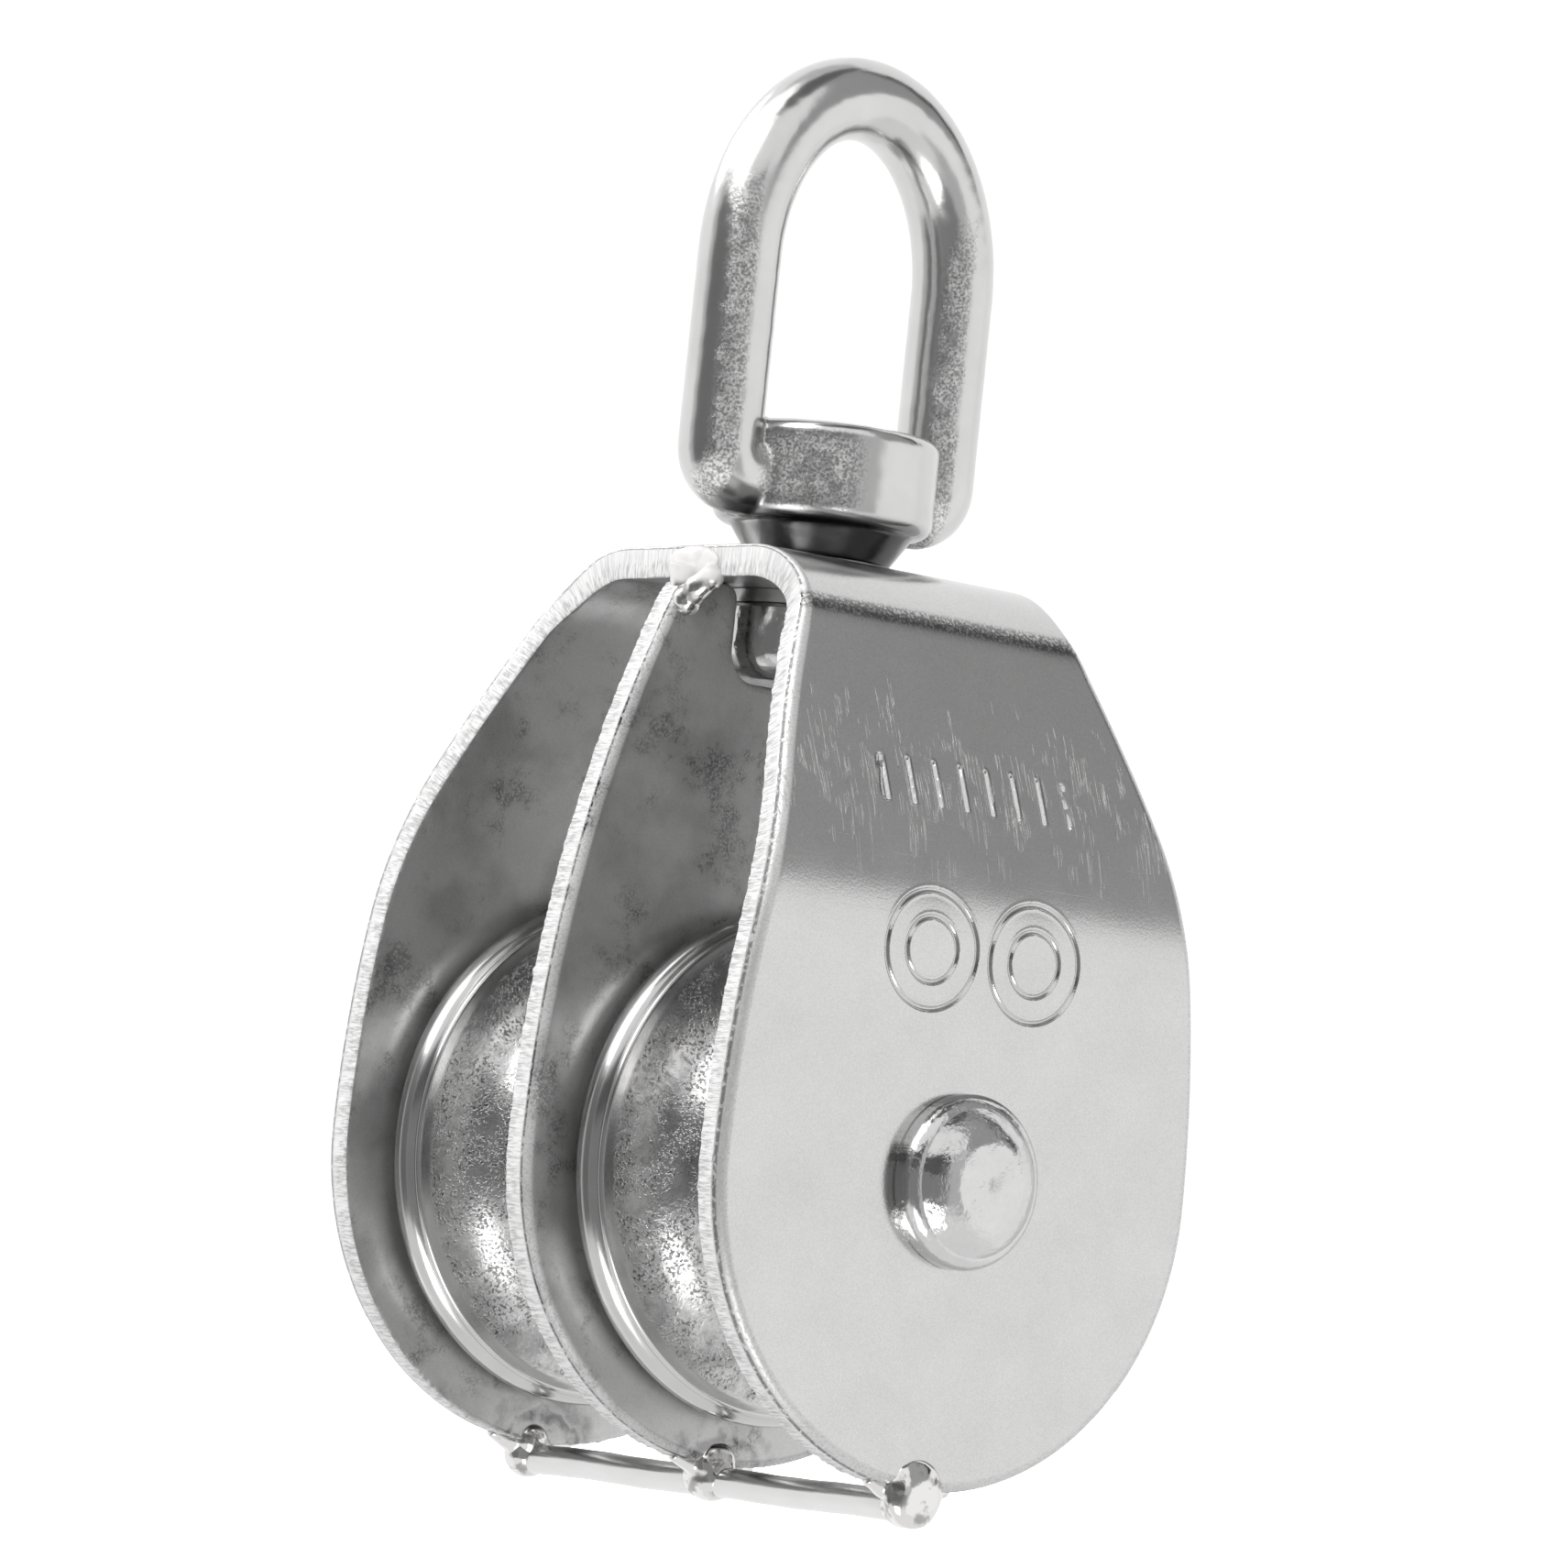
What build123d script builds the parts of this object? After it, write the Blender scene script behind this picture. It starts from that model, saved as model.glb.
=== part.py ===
from build123d import *
import math
import os

# Double sheave block with a swivel eye: every separate piece as its own solid, in millimetres.
# X runs along the axle, with the marked cheek on +X. Z is up through the eye. The open front of
# the block is on -Y. The origin is the middle of the axle.

# Sheaves. The outer diameter sets the size of the whole block.
sheave_diameter = 32.0
sheave_radius = sheave_diameter / 2
sheave_width = 15.0
lip_radius = 1.1
lip_wrap = math.radians(62)
bead_width = 0.45
bead_rise = 0.06
bead_drop = 0.25
hub_radius = 7.4
side_recess = 0.8
side_gap = 0.75

# Sheet-metal shell and centre plate.
sheet = 2.0
plate_radius = sheave_radius + 2.7
side_radius = 5 * sheave_radius
centre_side_radius = side_radius + 6.0
half_width = sheet / 2 + 2 * side_gap + sheave_width + sheet
inner_half_width = half_width - sheet
shell_top = 37.5
bend_height = 18.4
bend_slant = math.radians(23.2)
bend_radius = 25.0
shoulder_radius = 8.0
strip_half_width = 10.3
strip_corner = 6.0
rolled_edge = 0.75
centre_rolled_edge = 0.6
centre_top = shell_top - sheet
centre_corner = 2.2

# Axle, bushes and thrust washers.
axle_radius = 4.0
running_gap = 0.05
bush_radius = 5.5
washer_radius = 6.0
washer_thickness = side_gap - 2 * running_gap
head_radius = 5.3
head_side = 0.7
head_crease_radius = 4.5
head_crease = 1.65
head_flat_radius = 2.75
head_height = 2.9
lower_bulge_out = 0.58
lower_bulge_in = 0.26
upper_bulge_out = 0.64
upper_bulge_in = 0.5

# Swivel: stud, inside washer and eye.
stud_radius = 3.5
stud_head_radius = 5.9
stud_head_height = 4.6
stud_head_round = 2.0
stud_top = 44.0
swivel_washer_thickness = 0.8
collar_round = 1.0
notch_half_width = 6.6
notch_depth = 5.9
notch_corner = 2.0
collar_radius = 6.95
collar_bottom = shell_top + 2.4
collar_height = 6.2
boss_bottom = shell_top + 0.4
boss_radius = 4.4
boss_top_radius = 6.3
boss_overlap = 0.8
eye_bar_radius = 2.6
eye_half_width = 8.75
eye_bar_z = collar_bottom + eye_bar_radius
eye_spring_z = 56.1
eye_rise = 11.2

# Tie rod and welds.
rod_radius = 0.95
rod_y = -1.0
rod_z = -(plate_radius + rod_radius)
rod_half_length = half_width - 0.5
drop_radius = 2.0
drop_z = rod_z + 0.7
drop_cover = 0.45
centre_drop_cover = 1.2
web_spread = 3.6
web_inset = 0.15
web_waist_drop = 0.85
web_flank = (0.75 * drop_radius, rod_z - 0.25 * drop_radius)
bead_half_width = 1.75
bead_neck = 1.0
bead_neck_drop = 0.8
bead_depth = 4.4
bead_proud = 0.45
bead_bite = 1.5
glob_radius = 1.35
glob_out = 0.5

# Stamped marks on the +X cheek: a pair of rings and a row of bars.
mark_depth = 0.15
mark_line = 0.26
ring_z = 13.6
ring_spacing = 8.2
ring_radius = 3.7
ring_hole_radius = 2.1
bar_count = 8
bar_pitch = 2.1
bar_z = 23.6
bar_height = 2.6


def envelope(inset):
    """Solid bounded by the bent cheeks and top strip, set in from the outer surface."""
    lean = math.tan(bend_slant)
    side = half_width - inset
    knee_z = bend_height - inset * math.tan(bend_slant / 2)
    top = shell_top - inset
    shoulder = side - (top - knee_z) * lean
    low = -2 * plate_radius
    corners = [(-side, low), (-side, knee_z), (-shoulder, top), (shoulder, top), (side, knee_z), (side, low)]
    profile = make_face(Polyline(*corners, close=True))
    knees = profile.vertices().filter_by(lambda v: abs(v.Y - knee_z) < 0.001)
    profile = fillet(knees, bend_radius - inset)
    shoulders = profile.vertices().filter_by(lambda v: abs(v.Y - top) < 0.001)
    profile = fillet(shoulders, shoulder_radius - inset)
    return extrude(Plane.XZ * profile, 2 * plate_radius, both=True)


def outline(arc_radius, top_half_width, top):
    """Plate outline across the block: a round foot that tapers upwards along two large arcs."""
    arc_centre = plate_radius - arc_radius
    arc_end = math.acos((top_half_width - arc_centre) / arc_radius)
    arc_top = arc_radius * math.sin(arc_end)
    middle_y = arc_centre + arc_radius * math.cos(arc_end / 2)
    middle_z = arc_radius * math.sin(arc_end / 2)
    foot = ThreePointArc((-plate_radius, 0), (0, -plate_radius), (plate_radius, 0))
    right = ThreePointArc((plate_radius, 0), (middle_y, middle_z), (top_half_width, arc_top))
    left = ThreePointArc((-top_half_width, arc_top), (-middle_y, middle_z), (-plate_radius, 0))
    top_corners = [(top_half_width, top), (-top_half_width, top)]
    cap = Polyline((top_half_width, arc_top), *top_corners, (-top_half_width, arc_top))
    return make_face([foot, right, cap, left])


def along_axle(radius, start, end):
    """Round bar along the axle between two distances."""
    bar = Cylinder(radius, end - start, align=(Align.CENTER, Align.CENTER, Align.MIN))
    return Pos(start, 0, 0) * Rot(0, 90, 0) * bar


def upright(radius, bottom, top):
    """Round bar about the swivel axis between two heights."""
    return Pos(0, 0, bottom) * Cylinder(radius, top - bottom, align=(Align.CENTER, Align.CENTER, Align.MIN))


def on_surface(solid, edge):
    middle = Vertex(*(edge @ 0.5))
    return min(face.distance_to(middle) for face in solid.faces()) < 0.001


def stamped_marks():
    """Thin pieces just under the outer surface of the +X cheek, taken out of the shell."""
    lines = []
    for side in (-1, 1):
        for radius in (ring_radius, ring_hole_radius):
            outer = along_axle(radius, 0, 2 * half_width)
            inner = along_axle(radius - mark_line, 0, 2 * half_width)
            lines.append(Pos(0, side * ring_spacing / 2, ring_z) * (outer - inner))
    for index in range(bar_count):
        y = (index - (bar_count - 1) / 2) * bar_pitch
        bar = Box(2 * half_width, mark_line, bar_height, align=(Align.MIN, Align.CENTER, Align.CENTER))
        lines.append(Pos(0, y, bar_z) * bar)
    skin = envelope(0) - envelope(mark_depth)
    return [piece for line in lines for piece in (line & skin).solids()]


def outer_shell():
    """One strip of sheet bent into both cheeks and the top, with holes for axle and swivel."""
    blank = outline(side_radius, strip_half_width, 2 * shell_top)
    waist_z = side_radius * math.sin(math.acos(1 - (plate_radius - strip_half_width) / side_radius))
    waist = blank.vertices().filter_by(lambda v: abs(v.Y - waist_z) < 0.001)
    blank = fillet(waist, strip_corner)
    prism = extrude(Plane.YZ * blank, 2 * half_width, both=True)
    body = (envelope(0) & prism) - envelope(sheet)
    rolled = [e for e in body.edges() if on_surface(envelope(0), e) and on_surface(prism, e)]
    body = fillet(rolled, rolled_edge)
    body -= along_axle(axle_radius, -2 * half_width, 2 * half_width)
    body -= upright(stud_radius + running_gap, centre_top - 1, shell_top + 1)
    for mark in stamped_marks():
        body -= mark
    return body


def centre_plate():
    """Flat divider between the sheaves, notched at the top to clear the swivel head."""
    blank = outline(centre_side_radius, strip_half_width - 2, 2 * shell_top)
    body = extrude(Plane.YZ * blank, sheet / 2, both=True)
    above_top = Box(2 * sheet, 4 * plate_radius, 4 * plate_radius)
    body -= Pos(0, 0, centre_top + 2 * plate_radius) * above_top
    body = fillet(body.edges().filter_by(Axis.X).group_by(Axis.Z)[-1], centre_corner)
    notch = Box(2 * sheet, 2 * notch_half_width, 2 * notch_depth)
    low_edges = notch.edges().filter_by(Axis.X).group_by(Axis.Z)[0]
    notch = Pos(0, 0, centre_top) * fillet(low_edges, notch_corner)
    body -= notch
    rim = body.faces().sort_by(Axis.X)[-1].outer_wire().edges()
    body = fillet(rim, centre_rolled_edge)
    return body - along_axle(axle_radius, -sheet, sheet)


def axle_head():
    """Formed head beside the +X cheek: a short side, two rounded steps and a flat end."""
    start = half_width
    side_end = half_width + head_side
    crease = (half_width + head_crease, head_crease_radius)
    end = half_width + head_height
    lower_run = crease[0] - side_end
    lower_drop = head_radius - head_crease_radius
    upper_run = end - crease[0]
    upper_drop = head_crease_radius - head_flat_radius
    lower_bulge = (side_end + lower_bulge_out * lower_run, head_radius - lower_bulge_in * lower_drop)
    upper_bulge = (crease[0] + upper_bulge_out * upper_run, head_crease_radius - upper_bulge_in * upper_drop)
    lower = ThreePointArc((side_end, head_radius), lower_bulge, crease)
    upper = ThreePointArc(crease, upper_bulge, (end, head_flat_radius))
    corners = [(end, 0), (start, 0), (start, head_radius)]
    flat = Polyline((end, head_flat_radius), *corners, (side_end, head_radius))
    return revolve(make_face([lower, upper, flat]), Axis.X)


def axle_pin():
    head = axle_head()
    return along_axle(axle_radius, -half_width, half_width) + head + mirror(head, Plane.YZ)


def sheave(centre):
    """Grooved wheel: full-round lips, a fine bead inside each, a half-round groove and recessed sides."""
    half = sheave_width / 2
    lip_foot = sheave_radius - lip_radius
    lip_centre = half - lip_radius
    crease_x = lip_centre - lip_radius * math.sin(lip_wrap)
    crease_r = lip_foot + lip_radius * math.cos(lip_wrap)
    groove = crease_x - bead_width
    floor = half - side_recess
    recess_top = lip_foot - 2 * side_recess
    web_top = recess_top - side_recess
    web_foot = hub_radius + side_recess
    bead_top = (crease_x - bead_width / 2, crease_r + bead_rise)
    groove_r = crease_r - bead_drop
    recess = [(half, hub_radius), (floor, web_foot), (floor, web_top), (half, recess_top)]
    right = [
        Polyline((half, bush_radius), *recess, (half, lip_foot)),
        ThreePointArc((half, lip_foot), (lip_centre, sheave_radius), (crease_x, crease_r)),
        ThreePointArc((crease_x, crease_r), bead_top, (groove, groove_r)),
    ]
    left = [mirror(edge, Plane.YZ) for edge in right]
    bed = ThreePointArc((groove, groove_r), (0, groove_r - groove), (-groove, groove_r))
    bore = Line((-half, bush_radius), (half, bush_radius))
    return Pos(centre, 0, 0) * revolve(make_face([*right, bed, *left, bore]), Axis.X)


def bush(centre):
    """Plain sleeve pressed into a sheave, running on the axle."""
    start = centre - sheave_width / 2
    end = centre + sheave_width / 2
    return along_axle(bush_radius, start, end) - along_axle(axle_radius + running_gap, start, end)


def thrust_washer(plate_face, side):
    """Thin washer on the axle that fills the space between a plate and a sheave hub."""
    start = plate_face + side * running_gap
    end = start + side * washer_thickness
    low = min(start, end)
    high = max(start, end)
    return along_axle(washer_radius, low, high) - along_axle(axle_radius + running_gap, low, high)


def swivel_stud():
    """Headed pin that holds the eye to the shell and turns in its top."""
    head_top = centre_top - swivel_washer_thickness - 2 * running_gap
    head = upright(stud_head_radius, head_top - stud_head_height, head_top)
    head = fillet(head.edges().sort_by(Axis.Z)[0], stud_head_round)
    return head + upright(stud_radius, head_top, stud_top)


def swivel_washer():
    top = centre_top - running_gap
    bottom = top - swivel_washer_thickness
    return upright(stud_head_radius, bottom, top) - upright(stud_radius + running_gap, bottom, top)


def swivel_eye():
    """Oval ring of round bar on a short collar with a tapered underside, bored for the stud."""
    arch = EllipticalCenterArc((0, eye_spring_z), eye_half_width, eye_rise, start_angle=0, arc_size=180)
    section = Plane((0, eye_half_width, eye_bar_z)) * Circle(eye_bar_radius)
    right_leg = extrude(section, eye_spring_z - eye_bar_z)
    left_leg = Pos(0, -2 * eye_half_width, 0) * right_leg
    arch_start = Plane((0, eye_half_width, eye_spring_z)) * Circle(eye_bar_radius)
    crown = sweep(arch_start, path=Plane.YZ * arch)
    bar = Cylinder(eye_bar_radius, 2 * eye_half_width)
    foot = Pos(0, 0, eye_bar_z) * Rot(90, 0, 0) * bar
    body = crown + right_leg + left_leg + foot
    for side in (-1, 1):
        body += Pos(0, side * eye_half_width, eye_bar_z) * Sphere(eye_bar_radius)
    collar = upright(collar_radius, collar_bottom, collar_bottom + collar_height)
    collar = fillet(collar.edges().filter_by(GeomType.CIRCLE), collar_round)
    boss_height = collar_bottom + boss_overlap - boss_bottom
    boss = Cone(boss_radius, boss_top_radius, boss_height, align=(Align.CENTER, Align.CENTER, Align.MIN))
    body += collar + Pos(0, 0, boss_bottom) * boss
    return body - upright(stud_radius, boss_bottom - 1, stud_top)


def bottom_rod():
    return Pos(0, rod_y, rod_z) * along_axle(rod_radius, -rod_half_length, rod_half_length)


def web_profile():
    """Weld fillet seen along the axle: it flows from the plate foot down both sides of the rod."""
    spread_z = -math.sqrt(plate_radius**2 - web_spread**2)
    inside_z = spread_z + sheet / 2
    waist_z = spread_z - web_waist_drop
    left_flank = (-web_flank[0], web_flank[1])
    inside = [(-web_spread, inside_z), (web_spread, inside_z)]
    return make_face([
        ThreePointArc((web_spread, spread_z), (drop_radius, waist_z), web_flank),
        Line(web_flank, left_flank),
        ThreePointArc(left_flank, (-drop_radius, waist_z), (-web_spread, spread_z)),
        Polyline((-web_spread, spread_z), *inside, (web_spread, spread_z)),
    ])


def bottom_weld(inner, outer, cover, plates):
    """Weld that joins the rod to one plate: a rounded drop over both faces, and a fillet below the edge."""
    drop = along_axle(drop_radius, inner - cover, outer + cover)
    rounding = 0.8 * cover + 0.2
    drop = Pos(0, rod_y, drop_z) * fillet(drop.edges().filter_by(GeomType.CIRCLE), rounding)
    web = extrude(Plane.YZ * web_profile(), outer - inner - 2 * web_inset)
    web = Pos(inner + web_inset, rod_y, 0) * web
    return drop + web - plates - bottom_rod()


def top_weld(side, plates):
    """Bead on one edge of the top strip that necks down to the corner of the centre plate."""
    neck = (bead_neck, centre_top - bead_neck_drop)
    left_neck = (-neck[0], neck[1])
    profile = make_face([
        Spline((-bead_half_width, shell_top), left_neck, (0, shell_top - bead_depth), neck,
               (bead_half_width, shell_top)),
        Line((bead_half_width, shell_top), (-bead_half_width, shell_top)),
    ])
    blank = Pos(0, bead_bite - strip_half_width, 0) * extrude(Plane.XZ * profile, bead_bite + bead_proud)
    glob_place = Pos(sheet / 2 + glob_out, glob_radius - strip_half_width, centre_top - 0.8 * glob_radius)
    glob = glob_place * Sphere(glob_radius)
    bead = blank + glob
    if side > 0:
        bead = mirror(bead, Plane.XZ)
    return bead - plates


def main():
    os.makedirs("parts", exist_ok=True)
    shell = outer_shell()
    divider = centre_plate()
    plates = shell + divider
    sheave_centre = sheet / 2 + side_gap + sheave_width / 2
    pieces = {
        "outer_shell": shell,
        "centre_plate": divider,
        "axle_pin": axle_pin(),
        "left_sheave": sheave(-sheave_centre),
        "right_sheave": sheave(sheave_centre),
        "left_bush": bush(-sheave_centre),
        "right_bush": bush(sheave_centre),
        "left_outer_washer": thrust_washer(-inner_half_width, 1),
        "left_inner_washer": thrust_washer(-sheet / 2, -1),
        "right_inner_washer": thrust_washer(sheet / 2, 1),
        "right_outer_washer": thrust_washer(inner_half_width, -1),
        "swivel_eye": swivel_eye(),
        "swivel_stud": swivel_stud(),
        "swivel_washer": swivel_washer(),
        "bottom_rod": bottom_rod(),
        "top_weld_front": top_weld(-1, plates),
        "top_weld_back": top_weld(1, plates),
        "bottom_weld_left": bottom_weld(-half_width, -inner_half_width, drop_cover, plates),
        "bottom_weld_centre": bottom_weld(-sheet / 2, sheet / 2, centre_drop_cover, plates),
        "bottom_weld_right": bottom_weld(inner_half_width, half_width, drop_cover, plates),
    }
    for name, solid in pieces.items():
        solids = solid.solids()
        print(name, "solids", len(solids), "volume", round(solid.volume, 2))
        export_step(solid, f"parts/{name}.step")


main()
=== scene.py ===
import bpy
import bmesh
import math
import numpy as np
from mathutils import Matrix, Vector, noise


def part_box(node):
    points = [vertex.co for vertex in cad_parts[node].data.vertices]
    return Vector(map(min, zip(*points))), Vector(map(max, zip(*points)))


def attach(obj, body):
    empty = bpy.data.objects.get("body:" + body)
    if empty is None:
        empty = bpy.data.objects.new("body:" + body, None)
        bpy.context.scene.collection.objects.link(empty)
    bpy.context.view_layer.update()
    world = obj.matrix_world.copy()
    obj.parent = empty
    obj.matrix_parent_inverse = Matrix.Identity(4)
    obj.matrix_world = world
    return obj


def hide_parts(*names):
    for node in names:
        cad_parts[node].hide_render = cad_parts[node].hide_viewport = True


# Looks of a polished double sheave block. Lengths are in millimetres until a mesh is made.
# X runs along the axle, -Y is the open front, Z is up. The origin is the middle of the axle.

MM = 0.001
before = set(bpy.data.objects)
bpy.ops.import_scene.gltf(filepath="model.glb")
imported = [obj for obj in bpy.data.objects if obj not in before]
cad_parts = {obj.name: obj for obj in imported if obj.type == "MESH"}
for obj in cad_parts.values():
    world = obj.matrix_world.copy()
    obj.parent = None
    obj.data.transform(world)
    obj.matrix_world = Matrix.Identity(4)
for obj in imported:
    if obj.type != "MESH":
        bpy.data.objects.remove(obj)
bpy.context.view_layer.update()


def node_box(node):
    """Lowest and highest corner of a CAD node in millimetres."""
    low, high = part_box(node)
    return low / MM, high / MM


SHELL_LOW, SHELL_HIGH = node_box("outer_shell")
PLATE_LOW, PLATE_HIGH = node_box("centre_plate")
SHEAVE_LOW, SHEAVE_HIGH = node_box("right_sheave")
BUSH_HIGH = node_box("right_bush")[1]
AXLE_HIGH = node_box("axle_pin")[1]
EYE_LOW, EYE_HIGH = node_box("swivel_eye")
STUD_LOW, STUD_HIGH = node_box("swivel_stud")
ROD_LOW, ROD_HIGH = node_box("bottom_rod")

# Sheet-metal parts.
HALF_WIDTH = SHELL_HIGH.x
PLATE_RADIUS = -SHELL_LOW.z
SHELL_TOP = SHELL_HIGH.z
SHEET = PLATE_HIGH.x - PLATE_LOW.x
CENTRE_TOP = SHELL_TOP - SHEET
SIDE_RADIUS = 80.0
CENTRE_SIDE_RADIUS = SIDE_RADIUS + 6.0
STRIP_HALF_WIDTH = 10.3
STRIP_CORNER = 6.0
BEND_HEIGHT = 18.4
BEND_SLANT = math.radians(23.2)
BEND_RADIUS = 25.0
SHOULDER_RADIUS = 8.0
ROLLED_EDGE = 0.75
CENTRE_ROLLED_EDGE = 0.6
NOTCH_HALF_WIDTH = 6.6
NOTCH_DEPTH = 5.9
NOTCH_CORNER = 2.0
NOTCH_TIP = 1.0
CENTRE_CORNER = 2.2
BURR = 0.08

# How finely the sheet is meshed: along its edge, in rows across it, and round the edge's section.
EDGE_STEP = 0.12
ROW_STEP = 3
ROLL_POINTS = 8
CUT_POINTS = 8

# Round parts.
SHEAVE_RADIUS = SHEAVE_HIGH.z
SHEAVE_WIDTH = SHEAVE_HIGH.x - SHEAVE_LOW.x
SHEAVE_CENTRE = (SHEAVE_HIGH.x + SHEAVE_LOW.x) / 2
LIP_RADIUS = 1.1
LIP_WRAP = math.radians(62)
BEAD_WIDTH = 0.45
HEAD_RADIUS = AXLE_HIGH.y
HEAD_HEIGHT = AXLE_HIGH.x - HALF_WIDTH
COLLAR_RADIUS = EYE_HIGH.x
BOSS_BOTTOM = EYE_LOW.z
COLLAR_BOTTOM = SHELL_TOP + 2.4
COLLAR_TOP = COLLAR_BOTTOM + 6.2
BOSS_RADIUS = 4.4
BOSS_TOP_RADIUS = 6.3
EYE_BAR = 2.6
EYE_REACH = EYE_HIGH.y - EYE_BAR
EYE_SPRING = 56.1
ROD_RADIUS = (ROD_HIGH.z - ROD_LOW.z) / 2
ROD_Y = (ROD_HIGH.y + ROD_LOW.y) / 2
ROD_Z = (ROD_HIGH.z + ROD_LOW.z) / 2

# Stamped marks on the +X cheek.
MARK_DEPTH = 0.15
MARK_HALF_LINE = 0.13
RING_Z = 13.6
RING_Y = 4.1
RING_RADII = (3.57, 1.97)
BAR_Z = 23.6
BAR_HALF_HEIGHT = 1.3
BAR_PITCH = 2.1
BAR_COUNT = 8


# ---- curves

def arc_through(a, b, c, count):
    """Points along the arc that starts at a, passes b and ends at c."""
    (ax, ay), (bx, by), (cx, cy) = a, b, c
    twice = 2 * (ax * (by - cy) + bx * (cy - ay) + cx * (ay - by))
    a2, b2, c2 = ax * ax + ay * ay, bx * bx + by * by, cx * cx + cy * cy
    x = (a2 * (by - cy) + b2 * (cy - ay) + c2 * (ay - by)) / twice
    y = (a2 * (cx - bx) + b2 * (ax - cx) + c2 * (bx - ax)) / twice
    radius = math.hypot(ax - x, ay - y)
    start = math.atan2(ay - y, ax - x)
    middle = (math.atan2(by - y, bx - x) - start) % (2 * math.pi)
    sweep = (math.atan2(cy - y, cx - x) - start) % (2 * math.pi)
    if middle > sweep:
        sweep -= 2 * math.pi
    angles = start + sweep * np.linspace(0, 1, count)
    return [(x + radius * math.cos(t), y + radius * math.sin(t)) for t in angles]


def arc_about(centre, radius, start, end, count):
    """Points along an arc between two angles in degrees."""
    angles = np.radians(np.linspace(start, end, count))
    return [(centre[0] + radius * math.cos(t), centre[1] + radius * math.sin(t)) for t in angles]


def mirrored(points):
    """The same points in reverse order, on the other side of zero."""
    return [(-across, other) for across, other in reversed(points)]


def evenly(points, step):
    """The same open curve with points an even step apart, an even number of steps long."""
    points = np.array(points)
    gaps = np.hypot(*np.diff(points, axis=0).T)
    run = np.concatenate(([0], np.cumsum(gaps)))
    count = 6 * round(run[-1] / step / 6)
    wanted = np.linspace(0, run[-1], count + 1)
    return np.stack([np.interp(wanted, run, points[:, axis]) for axis in (0, 1)], 1)


def inward(loop):
    """Unit normals that point into a closed anticlockwise loop."""
    along = np.roll(loop, -1, 0) - np.roll(loop, 1, 0)
    along /= np.hypot(*along.T)[:, None]
    return np.stack((-along[:, 1], along[:, 0]), 1)


# ---- meshes

def stand_in(piece, node, body):
    """Put a piece on a body in place of a CAD node."""
    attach(piece, body)
    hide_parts(node)


def linked(name, data):
    """New object in the scene."""
    item = bpy.data.objects.new(name, data)
    bpy.context.collection.objects.link(item)
    return item


def mesh_piece(name, vertices, faces, material_slots, face_slots=None, sharp=35):
    """Object made from points in millimetres, with outward faces and smooth shading."""
    mesh = bpy.data.meshes.new(name)
    mesh.from_pydata((np.array(vertices) * MM).tolist(), [], faces)
    for material in material_slots:
        mesh.materials.append(material)
    if face_slots is not None:
        mesh.polygons.foreach_set("material_index", face_slots)
    work = bmesh.new()
    work.from_mesh(mesh)
    bmesh.ops.recalc_face_normals(work, faces=work.faces)
    work.to_mesh(mesh)
    work.free()
    mesh.shade_smooth()
    mesh.set_sharp_from_angle(angle=math.radians(sharp))
    return linked(name, mesh)


def ring_faces(rings, sides, closed=False):
    """Quads between rings of vertices, with a cap at each end unless the last ring joins the first."""
    faces = []
    for ring in range(rings if closed else rings - 1):
        near, far = ring * sides, (ring + 1) % rings * sides
        for side in range(sides):
            after = (side + 1) % sides
            faces.append((near + side, near + after, far + after, far + side))
    if not closed:
        faces.append(tuple(range(sides)))
        faces.append(tuple(range((rings - 1) * sides, rings * sides)))
    return faces


def lathe(profile, along_z=False, closed=False, turns=360):
    """Vertices and faces of a profile of (distance along, radius) points turned about X or Z."""
    angles = np.arange(turns) * 2 * math.pi / turns
    along = np.repeat([p[0] for p in profile], turns)
    radius = np.repeat([p[1] for p in profile], turns)
    angle = np.tile(angles, len(profile))
    round_1, round_2 = radius * np.cos(angle), radius * np.sin(angle)
    vertices = np.stack((round_1, round_2, along) if along_z else (along, round_1, round_2), 1)
    return vertices, ring_faces(len(profile), turns, closed)


def tube(path, radii, sides=48):
    """Vertices and faces of a round bar that follows a path in space, with flat ends."""
    path = [Vector(p) for p in path]
    vertices = []
    side = Vector((1, 0, 0))
    for index, point in enumerate(path):
        ahead = path[min(index + 1, len(path) - 1)] - path[max(index - 1, 0)]
        up = ahead.normalized().cross(side)
        if up.length < 0.3:
            side = Vector((0, 1, 0))
            up = ahead.normalized().cross(side)
        up.normalize()
        side = up.cross(ahead.normalized()).normalized()
        for turn in range(sides):
            angle = turn * 2 * math.pi / sides
            vertices.append(point + (side * math.cos(angle) + up * math.sin(angle)) * radii[index])
    return vertices, ring_faces(len(path), sides)


def ball(centre, size):
    """Vertices and faces of an ellipsoid."""
    turns, rings, tip = 40, 22, 0.02
    profile = []
    for ring in range(rings + 1):
        angle = math.pi * (ring + tip) / (rings + 2 * tip)
        profile.append((-math.cos(angle), math.sin(angle)))
    vertices, faces = lathe(profile, turns=turns)
    return vertices * np.array(size) + np.array(centre), faces


def vertex_rows(mesh, kind):
    """Places or normals of a mesh's vertices, one to a row."""
    values = np.zeros(len(mesh.vertices) * 3)
    mesh.vertices.foreach_get(kind, values)
    return values.reshape(-1, 3)


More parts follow.
